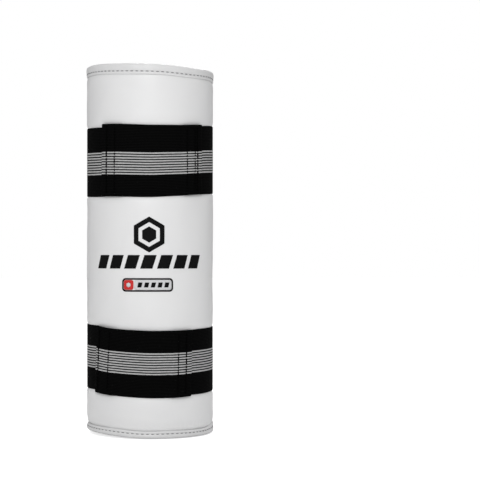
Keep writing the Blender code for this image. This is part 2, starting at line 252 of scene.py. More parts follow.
def triangulate(side, start, levels, spacing):
    """A flat half of the sleeve, from the front centre line to its free edge, as points and triangles. The first level is its rim."""
    curve = EDGES[side]
    rings = []
    for e in levels:
        ring = curve + e * normals(curve)
        if e > 6:
            ring = ring[:: max(1, round(spacing / 1.6))] if spacing > 2 else ring
            ends = (curve + e * normals(curve))[[0, -1]]
            ring = np.concatenate([ends[:1], ring[1:-1], ends[1:]])
        rings.append(ring)
    rim = rings[0]
    clear = levels[-1]
    count = round((H - 2 * clear) / spacing)
    rows = np.linspace(clear, H - clear, count + 1)[1:-1]
    reach = np.abs(rim[:, 0]).max()
    sign = 1 if side == "right" else -1
    columns = np.arange(1, int(reach / spacing) + 1) * spacing * sign
    grid = np.array([(a + (i % 2) * spacing * 0.0, z) for i, z in enumerate(rows) for a in columns])
    e, _ = nearest(grid, curve)
    keep = (e > clear + 0.6 * spacing) & inside(grid, rim)
    seam = [(0.0, z) for z in rows]
    points = [tuple(p) for ring in rings for p in ring] + seam + [tuple(p) for p in grid[keep]]
    at = {}
    for p in points:
        at.setdefault((round(float(p[0]), 4) + 0.0, round(float(p[1]), 4)), len(at))
    keys = list(at)
    loop = [(round(float(p[0]), 4) + 0.0, round(float(p[1]), 4)) for p in rim]
    first, last = loop[0], loop[-1]
    low, high = sorted((first[1], last[1]))
    middle = sorted((k for k in keys if abs(k[0]) < 1e-6 and low < k[1] < high), key=lambda k: k[1], reverse=last[1] > first[1])
    loop += middle
    edges = [(at[p], at[q]) for p, q in zip(loop, loop[1:] + loop[:1]) if p != q]
    found = delaunay_2d_cdt([Vector(k) for k in keys], edges, [], 0, 1e-7)
    out = np.array([tuple(v) for v in found[0]])
    faces = np.array([tuple(f) for f in found[2]])
    p, q, s = (out[faces[:, i]] for i in range(3))
    turn = (q[:, 0] - p[:, 0]) * (s[:, 1] - p[:, 1]) - (q[:, 1] - p[:, 1]) * (s[:, 0] - p[:, 0])
    faces[turn < 0] = faces[turn < 0][:, ::-1]
    keep = inside(out[faces].mean(axis=1), np.array(loop)) & (np.abs(turn) > 1e-4)
    return out, faces[keep]


# ------------------------------------------------------------------ materials


def shader(name, colour, rough, **more):
    m = bpy.data.materials.new(name)
    m.use_nodes = True
    m.diffuse_color = (*colour, 1)
    b = m.node_tree.nodes["Principled BSDF"]
    b.inputs["Base Color"].default_value = (*colour, 1)
    b.inputs["Roughness"].default_value = rough
    for key, value in more.items():
        b.inputs[key.replace("_", " ")].default_value = value
    return m, m.node_tree, b


class Nodes:
    """Short forms for building a node tree."""

    def __init__(self, tree):
        self.tree = tree

    def new(self, kind, **settings):
        n = self.tree.nodes.new(kind)
        for k, v in settings.items():
            setattr(n, k, v)
        return n

    def put(self, value, socket):
        if hasattr(value, "is_output"):
            self.tree.links.new(value, socket)
        elif value is not None:
            socket.default_value = value

    def math(self, op, a, b=None, c=None, clamp=False):
        n = self.new("ShaderNodeMath", operation=op, use_clamp=clamp)
        for socket, value in zip(n.inputs, (a, b, c)):
            self.put(value, socket)
        return n.outputs[0]

    def mix(self, t, a, b):
        n = self.new("ShaderNodeMix", data_type="RGBA")
        self.put(t, n.inputs[0])
        self.put(a, n.inputs[6])
        self.put(b, n.inputs[7])
        return n.outputs[2]

    def ramp(self, t, low, high, a, b):
        n = self.new("ShaderNodeMapRange", interpolation_type="SMOOTHSTEP")
        for socket, value in zip(n.inputs, (t, low, high, a, b)):
            self.put(value, socket)
        return n.outputs[0]

    def place(self, scale=(1, 1, 1), source="Object"):
        n = self.new("ShaderNodeTexCoord")
        m = self.new("ShaderNodeMapping")
        m.inputs["Scale"].default_value = scale
        self.tree.links.new(n.outputs[source], m.inputs["Vector"])
        return m.outputs[0]

    def noise(self, vector, scale, detail=2.0, rough=0.5, distortion=0.0):
        n = self.new("ShaderNodeTexNoise")
        self.put(vector, n.inputs["Vector"])
        for k, v in (("Scale", scale), ("Detail", detail), ("Roughness", rough), ("Distortion", distortion)):
            n.inputs[k].default_value = v
        return n.outputs[0]

    def voronoi(self, vector, scale, feature="F1"):
        n = self.new("ShaderNodeTexVoronoi", feature=feature)
        self.put(vector, n.inputs["Vector"])
        n.inputs["Scale"].default_value = scale
        return n.outputs[0]

    def bump(self, height, strength, distance, before=None):
        n = self.new("ShaderNodeBump")
        n.inputs["Strength"].default_value = strength
        n.inputs["Distance"].default_value = distance
        self.put(height, n.inputs["Height"])
        if before is not None:
            self.put(before, n.inputs["Normal"])
        return n.outputs[0]


def pu_leather(name, colour, rough=0.40, grain=0.12, dirt=0.02):
    """Coated fabric with a fine pebble grain, a soft sheen and slightly uneven gloss."""
    m, tree, b = shader(name, colour, rough, Specular_IOR_Level=0.42)
    n = Nodes(tree)
    at = n.place()
    pebble = n.voronoi(at, 1500.0)
    pores = n.noise(at, 2600.0, 2.0, 0.6)
    creases = n.noise(at, 190.0, 3.0, 0.55, 0.6)
    height = n.math("ADD", n.math("MULTIPLY", pebble, 0.6), n.math("MULTIPLY", pores, 0.5))
    fine = n.bump(height, grain, 0.0002)
    soft = n.bump(creases, 0.10, 0.0006, fine)
    tree.links.new(soft, b.inputs["Normal"])
    wide = n.noise(at, 26.0, 3.0, 0.55)
    gloss = n.math("ADD", n.ramp(wide, 0.3, 0.7, rough - 0.05, rough + 0.06), n.math("MULTIPLY", pores, 0.05))
    tree.links.new(gloss, b.inputs["Roughness"])
    dim = tuple(c * (1 - dirt) for c in colour)
    shade = n.mix(n.ramp(wide, 0.35, 0.75, 0.0, 1.0), (*colour, 1), (dim[0], dim[1], dim[2] * 1.004, 1))
    tree.links.new(shade, b.inputs["Base Color"])
    return m


def knit(name, colour):
    """A matte knit, with fine wales up the sleeve and courses round it."""
    m, tree, b = shader(name, colour, 0.9, Sheen_Weight=0.06, Sheen_Roughness=0.45, Specular_IOR_Level=0.06)
    n = Nodes(tree)
    at = n.place()
    split = n.new("ShaderNodeSeparateXYZ")
    tree.links.new(at, split.inputs[0])
    turn = n.math("ARCTAN2", split.outputs[0], split.outputs[1])
    wale = n.math("SINE", n.math("MULTIPLY", turn, 230.0))
    course = n.math("SINE", n.math("MULTIPLY", split.outputs[2], 5200.0))
    loops = n.math("MULTIPLY", wale, course)
    fuzz = n.noise(at, 1800.0, 3.0, 0.6)
    height = n.math("ADD", n.math("MULTIPLY", loops, 0.5), fuzz)
    tree.links.new(n.bump(height, 0.5, 0.0003), b.inputs["Normal"])
    # Painted highlight and shade: the knit is coloured lighter on its raised loops and darker in the hollows between
    # them, following the bump's height.
    light = tuple(c * 2.2 + 0.002 for c in colour)
    tree.links.new(n.mix(n.ramp(height, -0.1, 1.2, 0.0, 1.0), (*colour, 1), (*light, 1)), b.inputs["Base Color"])
    return m


def foam_material(name, colour):
    m, tree, b = shader(name, colour, 0.85)
    n = Nodes(tree)
    at = n.place()
    cells = n.voronoi(at, 900.0)
    tree.links.new(n.bump(cells, 0.6, 0.0005), b.inputs["Normal"])
    dark = tuple(c * 0.75 for c in colour)
    tree.links.new(n.mix(n.ramp(cells, 0.1, 0.6, 0.0, 1.0), (*colour, 1), (*dark, 1)), b.inputs["Base Color"])
    return m


def elastic(name, band):
    """Woven elastic: black ribs across its width and nine light twisted cords along the middle. UV is (length in mm / 100, share of the width)."""
    m, tree, b = shader(name, (0.004, 0.004, 0.0045), 0.9, Specular_IOR_Level=0.02)
    n = Nodes(tree)
    uv = n.new("ShaderNodeUVMap", uv_map="flat")
    split = n.new("ShaderNodeSeparateXYZ")
    tree.links.new(uv.outputs[0], split.inputs[0])
    along, across = split.outputs[0], split.outputs[1]
    at = n.place()
    wander = n.math("MULTIPLY", n.math("SUBTRACT", n.noise(at, 90.0, 2.0), 0.5), 0.004)
    place_ = n.math("MULTIPLY", n.math("SUBTRACT", n.math("ADD", across, wander), band[0]), 9.0 / (band[1] - band[0]))
    part = n.math("ABSOLUTE", n.math("SUBTRACT", n.math("FRACT", place_), 0.5))
    cord = n.ramp(part, 0.235, 0.285, 1.0, 0.0)
    within = n.math("MULTIPLY", n.math("GREATER_THAN", place_, 0.0), n.math("LESS_THAN", place_, 9.0))
    cord = n.math("MULTIPLY", cord, within)
    # The ply of each cord: short slanted strands about 0.8 mm long.
    slant = n.math("ADD", n.math("MULTIPLY", along, 785.0), n.math("MULTIPLY", place_, 3.2))
    ply = n.math("SINE", slant)
    fine = n.noise(at, 1500.0, 3.0, 0.65)
    # Painted shade and highlight: each grey cord is coloured darker in the slanted grooves between its strands and
    # lighter on their crests, following the bump's height.
    grey = n.mix(n.ramp(ply, -0.9, 0.7, 0.0, 1.0), (0.22, 0.22, 0.22, 1), (0.62, 0.62, 0.62, 1))
    grey = n.mix(n.ramp(fine, 0.35, 0.7, 0.0, 0.45), grey, (0.74, 0.74, 0.74, 1))
    rib = n.math("SINE", n.math("MULTIPLY", across, 2 * math.pi * 46.0))
    pick = n.math("SINE", n.math("MULTIPLY", along, 900.0))
    weave = n.math("MULTIPLY", rib, n.math("ADD", n.math("MULTIPLY", pick, 0.35), 0.65))
    # Painted highlight: the black weave is coloured lighter on the crests of its ribs, following the bump's height.
    black = n.mix(n.ramp(n.math("ADD", weave, fine), 0.0, 1.5, 0.0, 1.0), (0.0008, 0.0008, 0.0008, 1), (0.0048, 0.0048, 0.0049, 1))
    tree.links.new(n.mix(cord, black, grey), b.inputs["Base Color"])
    height = n.math("ADD", n.math("MULTIPLY", n.math("MULTIPLY", ply, cord), 0.5), n.math("MULTIPLY", n.math("SUBTRACT", 1.0, cord), n.math("MULTIPLY", weave, 0.5)))
    height = n.math("ADD", height, n.math("MULTIPLY", fine, 0.5))
    tree.links.new(n.bump(height, 0.55, 0.0003), b.inputs["Normal"])
    tree.links.new(n.ramp(cord, 0.0, 1.0, 0.86, 0.62), b.inputs["Roughness"])
    return m


def thread(name, colour, sheen=0.15, specular=0.35):
    m, tree, b = shader(name, colour, 0.7, Sheen_Weight=sheen, Specular_IOR_Level=specular)
    n = Nodes(tree)
    at = n.place()
    twist = n.noise(at, 3200.0, 2.0, 0.5, 0.8)
    tree.links.new(n.bump(twist, 0.5, 0.0002), b.inputs["Normal"])
    dark = tuple(c * 0.6 for c in colour)
    tree.links.new(n.mix(twist, (*dark, 1), (*colour, 1)), b.inputs["Base Color"])
    return m


def film_material(name, colour, rough=0.45, specular=0.35):
    m, tree, b = shader(name, colour, rough, Specular_IOR_Level=specular)
    n = Nodes(tree)
    at = n.place()
    grain = n.noise(at, 1900.0, 2.0, 0.55)
    tree.links.new(n.bump(grain, 0.12, 0.0001), b.inputs["Normal"])
    tree.links.new(n.ramp(grain, 0.3, 0.7, rough - 0.05, rough + 0.08), b.inputs["Roughness"])
    pale = tuple(min(1, c * 1.15 + 0.003) for c in colour)
    tree.links.new(n.mix(n.ramp(grain, 0.4, 0.8, 0.0, 1.0), (*colour, 1), (*pale, 1)), b.inputs["Base Color"])
    return m


WHITE = (0.80, 0.80, 0.802)
M = {
    "cover": pu_leather("cover_white", WHITE, 0.40, 0.10),
    # The binding is the cover's white PU coloured darker than the cover, partly as painted shade for the shaded tape.
    "binding": pu_leather("binding_white_painted_shade", (0.735, 0.735, 0.737), 0.44, 0.16, 0.03),
    "lining": knit("lining_black", (0.0035, 0.0035, 0.0037)),
    "foam": foam_material("padding_grey", (0.32, 0.32, 0.33)),
    "upper_front": elastic("elastic_upper_front", STRAPS["upper"]["band"]),
    "upper_back": elastic("elastic_upper_back", STRAPS["upper"]["back_band"]),
    "lower_front": elastic("elastic_lower_front", STRAPS["lower"]["band"]),
    "lower_back": elastic("elastic_lower_back", STRAPS["lower"]["back_band"]),
    "seam": thread("thread_grey", (0.30, 0.30, 0.31)),
    "row": thread("thread_black", (0.0012, 0.0012, 0.0012), 0.0, 0.02),
    "black": film_material("film_black", (0.0028, 0.0028, 0.003), 0.6, 0.08),
    "grey": film_material("film_grey", (0.30, 0.30, 0.31), 0.5),
    "pale": film_material("film_pale", (0.62, 0.62, 0.63), 0.5),
    "red": film_material("film_red", (0.55, 0.018, 0.016), 0.45),
    "green": film_material("film_green", (0.05, 0.28, 0.06), 0.5),
}


# ------------------------------------------------------------------ geometry helpers


def mesh_object(name, points, faces, slots, which=None, vertex_normals=None, uv=None):
    mesh = bpy.data.meshes.new(name)
    mesh.from_pydata(np.asarray(points).tolist(), [], [tuple(int(i) for i in f) for f in faces])
    for s in slots:
        mesh.materials.append(M[s])
    mesh.shade_smooth()
    if which is not None:
        mesh.polygons.foreach_set("material_index", np.asarray(which, np.int32))
    if uv is not None:
        layer = mesh.uv_layers.new(name="flat")
        index = np.empty(len(mesh.loops), np.int32)
        mesh.loops.foreach_get("vertex_index", index)
        layer.data.foreach_set("uv", np.asarray(uv, np.float32)[index].ravel())
    mesh.update()
    if vertex_normals is not None:
        mesh.normals_split_custom_set_from_vertices(np.asarray(vertex_normals).tolist())
    obj = bpy.data.objects.new(name, mesh)
    bpy.context.scene.collection.objects.link(obj)
    return obj


def face_normals(points, faces):
    """Area-weighted normals at the vertices of some triangles."""
    p = points[faces]
    n = np.cross(p[:, 1] - p[:, 0], p[:, 2] - p[:, 0])
    out = np.zeros_like(points)
    for i in range(3):
        np.add.at(out, faces[:, i], n)
    return out


def shells(name, data, outer, inner, slot):
    """Both halves of one layer as closed shells, whose normals agree at the front centre line."""
    built = {}
    for side, (flat, faces) in data.items():
        top = place(flat[:, 0], flat[:, 1], outer[side])
        under = place(flat[:, 0], flat[:, 1], inner[side])
        built[side] = [flat, faces, top, under, face_normals(top, faces), face_normals(under, faces[:, ::-1])]
    seams = {side: {round(z, 3): i for i, (a, z) in enumerate(b[0]) if abs(a) < 1e-6} for side, b in built.items()}
    for z, i in seams["right"].items():
        j = seams["left"].get(z)
        if j is not None:
            for k in (4, 5):
                total = built["right"][k][i] + built["left"][k][j]
                built["right"][k][i] = built["left"][k][j] = total
    made = {}
    for side, (flat, faces, top, under, nt, nu) in built.items():
        count = len(top)
        directed = set()
        for f in faces.tolist():
            directed |= {(f[0], f[1]), (f[1], f[2]), (f[2], f[0])}
        rim = sorted((p, q) for p, q in directed if (q, p) not in directed)
        solid = faces.tolist() + [[v + count for v in reversed(f)] for f in faces.tolist()]
        for p, q in rim:
            solid += [[q, p, p + count], [q, p + count, q + count]]
        n = np.concatenate([nt, nu])
        n /= np.maximum(np.linalg.norm(n, axis=1), 1e-12)[:, None]
        made[side] = mesh_object(f"{name}_{side}", np.concatenate([top, under]), solid, [slot], None, n)
    return made


def sweep(name, path, section, slot, shift=None, uv=None):
    """A closed tape carried along an edge. section(i) gives (distance in, height over the tape's middle, run shift) for station i."""
    nrm, tan = normals(path), tangents(path)
    points = []
    for i in range(len(path)):
        s = section(i)
        flat = path[i] + s[:, :1] * nrm[i] + s[:, 2:] * tan[i]
        radius = base(deg_of(flat[:, 0])) - press(flat[:, 0], flat[:, 1])[0] - MID + s[:, 1]
        points.append(place(flat[:, 0], flat[:, 1], radius))
    k = len(points[0])
    n = len(path)
    points = np.concatenate(points)
    faces = [(i * k + j, (i + 1) * k + j, (i + 1) * k + (j + 1) % k, i * k + (j + 1) % k) for i in range(n - 1) for j in range(k)]
    faces += [tuple(range(k)), tuple(reversed(range((n - 1) * k, n * k)))]
    obj = fix(mesh_object(name, points, faces, [slot]))
    # Normals of the swept surface alone, so that the cut ends stay crisp and two tapes run on into each other.
    grid = points.reshape(n, k, 3)
    along = np.gradient(grid, axis=0)
    round_ = np.roll(grid, -1, axis=1) - np.roll(grid, 1, axis=1)
    normal = np.cross(along, round_).reshape(-1, 3)
    normal /= np.maximum(np.linalg.norm(normal, axis=1), 1e-12)[:, None]
    count = [0.0, 0]
    loops = []
    for poly in obj.data.polygons:
        face = tuple(poly.normal)
        for v in poly.vertices:
            if len(poly.vertices) > 4:
                loops.append(face)
            else:
                if np.dot(normal[v], face) < 0:
                    count[0] += 1
                count[1] += 1
                loops.append(normal[v])
    if count[0] > count[1] / 2:
        loops = [l if isinstance(l, tuple) else -l for l in loops]
    obj.data.normals_split_custom_set([tuple(map(float, l)) for l in loops])
    return obj, grid


def fix(obj):
    """Turns an inside-out solid round."""
    mesh = obj.data
    mesh.calc_loop_triangles()
    tris = np.empty(len(mesh.loop_triangles) * 3, np.int32)
    mesh.loop_triangles.foreach_get("vertices", tris)
    co = np.empty(len(mesh.vertices) * 3)
    mesh.vertices.foreach_get("co", co)
    t = co.reshape(-1, 3)[tris.reshape(-1, 3)]
    if np.einsum("ij,ij->i", t[:, 0], np.cross(t[:, 1], t[:, 2])).sum() < 0:
        mesh.flip_normals()
    return obj


def flap_blend(obj):
    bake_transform(obj)
    return obj


# ------------------------------------------------------------------ cover, lining and padding


def edge_style(a, z):
    """1 where the tape lies flush, 0 along the lower front rim, where the padding rolls over it."""
    d = deg_of(a)
    return np.maximum(smooth((z - 70) / 60), np.maximum(smooth((d - 52) / 38), smooth((-d - 98) / 30)))


# Broad dents and swells of the flaps: angle, height, half width round the arm, half height, depth, tilt.
DENTS = [
    (141, 236, 13, 3.6, 1.05, -0.05), (139, 246, 15, 4.0, -0.45, 0.0), (152, 157, 9, 7.0, -0.55, 0.2),
    (172, 139, 12, 5.5, 0.75, 0.25), (150, 128, 18, 7.0, -0.5, 0.1), (172, 113, 14, 8.0, 0.95, 0.3),
    (140, 98, 16, 9.0, 0.6, -0.3), (165, 88, 12, 5.0, -0.5, 0.1), (136, 150, 10, 12.0, 0.45, 0.4),
    (158, 22, 10, 4.5, 0.7, 0.3), (140, 14, 12, 4.0, -0.4, 0.1), (-150, 232, 5.5, 13.0, 0.8, -0.35),
    (-136, 240, 6.5, 12.0, -0.6, -0.3), (-124, 232, 6, 13.0, 0.45, -0.2), (-146, 159, 13, 5.0, 0.65, -0.1),
    (-160, 148, 8, 7.0, -0.6, 0.1), (-136, 131, 12, 6.0, 0.55, 0.25), (-132, 112, 9, 9.0, -0.5, 0.2),
    (-148, 92, 14, 7.0, -0.45, 0.2), (-134, 86, 12, 4.5, 0.6, -0.15), (-143, 21, 12, 4.5, -0.75, 0.35),
    (-158, 27, 8, 4.0, 0.7, 0.2),
]  # fmt: skip
SWELL = {}  # filled by the cloth simulation: points of the flat pattern and how far each one moved out


def dents(a, z):
    out = np.zeros(np.broadcast(a, z).shape)
    for turn, height, wide, high, depth, tilt in DENTS:
        x = a - float(arc_of(turn))
        y = z - height
        out -= depth * np.exp(-(((x * math.cos(tilt) + y * math.sin(tilt)) / wide) ** 2) - ((y * math.cos(tilt) - x * math.sin(tilt)) / high) ** 2)
    return out


def swelling(side, a, z):
    """The simulated movement of the cover at some points of its pattern."""
    if side not in SWELL:
        return 0.0
    at, moved = SWELL[side]
    tree = kdtree.KDTree(len(at))
    for i, (x, y) in enumerate(at):
        tree.insert((x, y, 0), i)
    tree.balance()
    out = np.empty(len(a))
    for k, (x, y) in enumerate(zip(a, z)):
        total = weight = 0.0
        for _, i, gap in tree.find_n((x, y, 0), 9):
            w = math.exp(-((gap / 3.4) ** 2)) + 1e-9
            total += w * moved[i]
            weight += w
        out[k] = total / weight
    return out


def cover_radius(side, a, z):
    flat = np.stack([a, z], axis=1)
    e, run = nearest(flat, EDGES[side])
    d = deg_of(a)
    curve = EDGES[side]
    step = np.linalg.norm(np.diff(curve, axis=0), axis=1).mean()
    bend = np.interp(run / step, np.arange(len(curve)), BENDS[side])
    top = -1.0 + 0.80 * smooth((e - 5.4) / 5.2) + 0.10 * np.exp(-(((e - 13) / 4) ** 2))
    low = -1.85 + 1.30 * smooth((e - 4.4) / 2.8) + 0.45 * smooth((e - 6.0) / 7.0) + 0.12 * np.exp(-(((e - 12) / 3.5) ** 2))
    style = edge_style(a, z)
    sink, share = press(a, z)
    r = base(d) + style * top + (1 - style) * low - sink
    at = place(a, z, base(d))
    free = smooth((e - 7) / 9) * (1 - 0.85 * share)
    label = np.exp(-((((d + 152) / 13) ** 2) + ((z - 121) / 24) ** 2) ** 2)
    column = np.exp(-((((d - 147.8) / 8) ** 2) + ((z - 132) / 44) ** 2) ** 2)
    free = free * (1 - 0.8 * label - 0.75 * column)
    flap = smooth((np.abs(d) - 108) / 25)
    r += free * (0.05 + 0.55 * flap) * rnd(at, 46.0, 1.0)
    r += free * (0.03 + 0.13 * flap) * rnd(at, 15.0, 2.0)
    r += 1.8 * free * flap * dents(a, z)
    r += free * swelling(side, a, z)
    # Puckers off the seam, and folds where the edge turns a corner.
    fade = np.exp(-np.maximum(e - 7, 0) / 2.6)
    r += 0.08 * fade * np.cos(2 * np.pi * run / PITCH)
    corner = np.clip(bend * 26, 0, 1)
    wave = np.array([noise.noise(Vector((s / 5.5, k / 9.0, 3.3))) for s, k in zip(run, e)])
    r += 0.75 * corner * wave * np.exp(-np.maximum(e - 7, 0) / 6.0) * smooth((e - 4) / 4)
    return r, e


def thickness(d):
    return 11.4 - 3.0 * smooth((np.abs(d) - 98) / 24)


def lining_radius(a, z, e):
    d = deg_of(a)
    full = thickness(d) - 0.8
    rise = smooth((e - 7.5) / 9.5)
    at = place(a, z, base(d) - 8)
    sink = press(a, z)[0] * (1 - rise)
    return base(d) - 2.35 - (full - 2.35) * rise - sink + 0.3 * rise * rnd(at, 28.0, 5.0) + 0.12 * rise * rnd(at, 8.0, 6.0)


def simulate(side):
    """Lets the cover swell between its seams and the straps, as coated cloth does over foam, and returns how far each point moved."""
    flat, faces = triangulate(side, 0, [3.6, 7.5, 11.0, 15.0], 4.4)
    a, z = flat[:, 0], flat[:, 1]
    radius, e = cover_radius(side, a, z)
    top = place(a, z, radius)
    scene = bpy.context.scene
    mesh = bpy.data.meshes.new("cloth")
    mesh.from_pydata(top.tolist(), [], faces.tolist())
    obj = bpy.data.objects.new("cloth", mesh)
    scene.collection.objects.link(obj)
    share = press(a, z)[1]
    hold = np.maximum.reduce([1 - smooth((e - 6.5) / 4), smooth((share - 0.15) / 0.5), 1 - smooth((np.abs(a) - 5) / 12)])
    pins = obj.vertex_groups.new(name="pins")
    for i, w in enumerate(hold):
        if w > 0.01:
            pins.add([i], float(w), "REPLACE")
    cloth = obj.modifiers.new("cloth", "CLOTH")
    s = cloth.settings
    s.quality = 6
    s.mass = 0.25
    s.tension_stiffness = s.compression_stiffness = 25
    s.shear_stiffness = 12
    s.bending_stiffness = 2.5
    s.tension_damping = s.compression_damping = 8
    s.air_damping = 4
    s.vertex_group_mass = "pins"
    s.shrink_min = s.shrink_max = -0.022
    s.use_pressure = True
    s.uniform_pressure_force = 1.2
    s.effector_weights.gravity = 0
    cloth.collision_settings.use_collision = False
    cloth.point_cache.frame_start, cloth.point_cache.frame_end = 1, 20
    for frame_number in range(1, 21):
        scene.frame_set(frame_number)
    graph = bpy.context.evaluated_depsgraph_get()
    moved = obj.evaluated_get(graph).to_mesh()
    co = np.empty(len(moved.vertices) * 3)
    moved.vertices.foreach_get("co", co)
    co = co.reshape(-1, 3)
    obj.evaluated_get(graph).to_mesh_clear()
    bpy.data.objects.remove(obj)
    scene.frame_set(1)
    out = (np.hypot(co[:, 0], co[:, 1]) - np.hypot(top[:, 0], top[:, 1])) / MM
    limit = 0.30 + 1.0 * smooth((np.abs(deg_of(a)) - 105) / 30)
    return flat, limit * np.tanh(out / 1.6)


SWELL.update({side: simulate(side) for side in ("right", "left")})

LEVELS = [3.6, 4.6, 5.4, 6.2, 7.0, 7.8, 8.7, 9.7, 10.8, 12.0, 13.5, 15.2, 17.0, 19.0]
GRID = 2.3
skin = {side: triangulate(side, 0, LEVELS, GRID) for side in ("right", "left")}
outer, inner = {}, {}
for side, (flat, faces) in skin.items():
    outer[side], e = cover_radius(side, flat[:, 0], flat[:, 1])
    inner[side] = outer[side] - 0.9
cover = shells("cover", skin, outer, inner, "cover")

coarse = {side: triangulate(side, 0, [3.0, 5.5, 8.0, 10.0, 12.5, 15.0, 18.0], 4.5) for side in ("right", "left")}
outer, inner = {}, {}
for side, (flat, faces) in coarse.items():
    e, _ = nearest(flat, EDGES[side])
    outer[side] = lining_radius(flat[:, 0], flat[:, 1], e)
    inner[side] = outer[side] - 0.7
lining = shells("lining", coarse, outer, inner, "lining")

pad = {side: triangulate(side, 0, [11.0, 13.5, 18.0], 6.0) for side in ("right", "left")}
outer, inner = {}, {}
for side, (flat, faces) in pad.items():
    r, e = cover_radius(side, flat[:, 0], flat[:, 1])
    outer[side] = r - 0.9 - 0.25
    inner[side] = np.minimum(lining_radius(flat[:, 0], flat[:, 1], e) + 0.45, outer[side] - 0.4)
padding = shells("padding", pad, outer, inner, "foam")

for side in ("right", "left"):
    flap = "outer_flap" if side == "right" else "inner_flap"
    for part, kind, slot in ((cover, "cover", "white_pu"), (lining, "lining", "black_fabric"), (padding, "foam", "foam")):
        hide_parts(f"front_{kind}", f"{flap}_{kind}")
        flap_blend(part[side])


# ------------------------------------------------------------------ edge binding


def tape_section(width, seam, wide=0.0):
    """Half of a folded tape seen end on, as (distance in, height), with the list of points on its outer face.

    The tape rolls over the edge as a full round bead, and a groove runs along the stitches."""
    d = np.concatenate([np.linspace(width, seam + 0.9, 4), np.linspace(seam + 0.6, seam - 0.6, 5), np.linspace(seam - 1.0, 2.0, 5)])
    crown = np.where(d < seam, np.sin(np.pi * np.clip((d - 0.2) / seam, 0, 1)), 0.0)
    h = 2.02 + 0.42 * crown - 0.34 * np.exp(-(((d - seam) / 0.6) ** 2)) + 0.10 * (d > seam)
    h -= 0.30 * np.clip((d - (width - 0.8)) / 0.8, 0, 1) ** 2
    turn = np.linspace(0, np.pi, 11)[1:-1]
    top = h[-1]
    round_d = 2.0 * (1 - np.sin(turn))
    round_h = np.cos(turn) * top
    outer_face = np.stack([d, h], axis=1)
    edge = np.stack([round_d, round_h], axis=1)
    inner_face = np.stack([d[::-1], -h[::-1]], axis=1)
    slot = np.array([(width - 0.05, -1.45), (1.9, -1.40), (1.9, 1.35), (width - 0.05, 1.45)])
    return np.concatenate([outer_face, edge, inner_face, slot]), len(outer_face), len(edge)


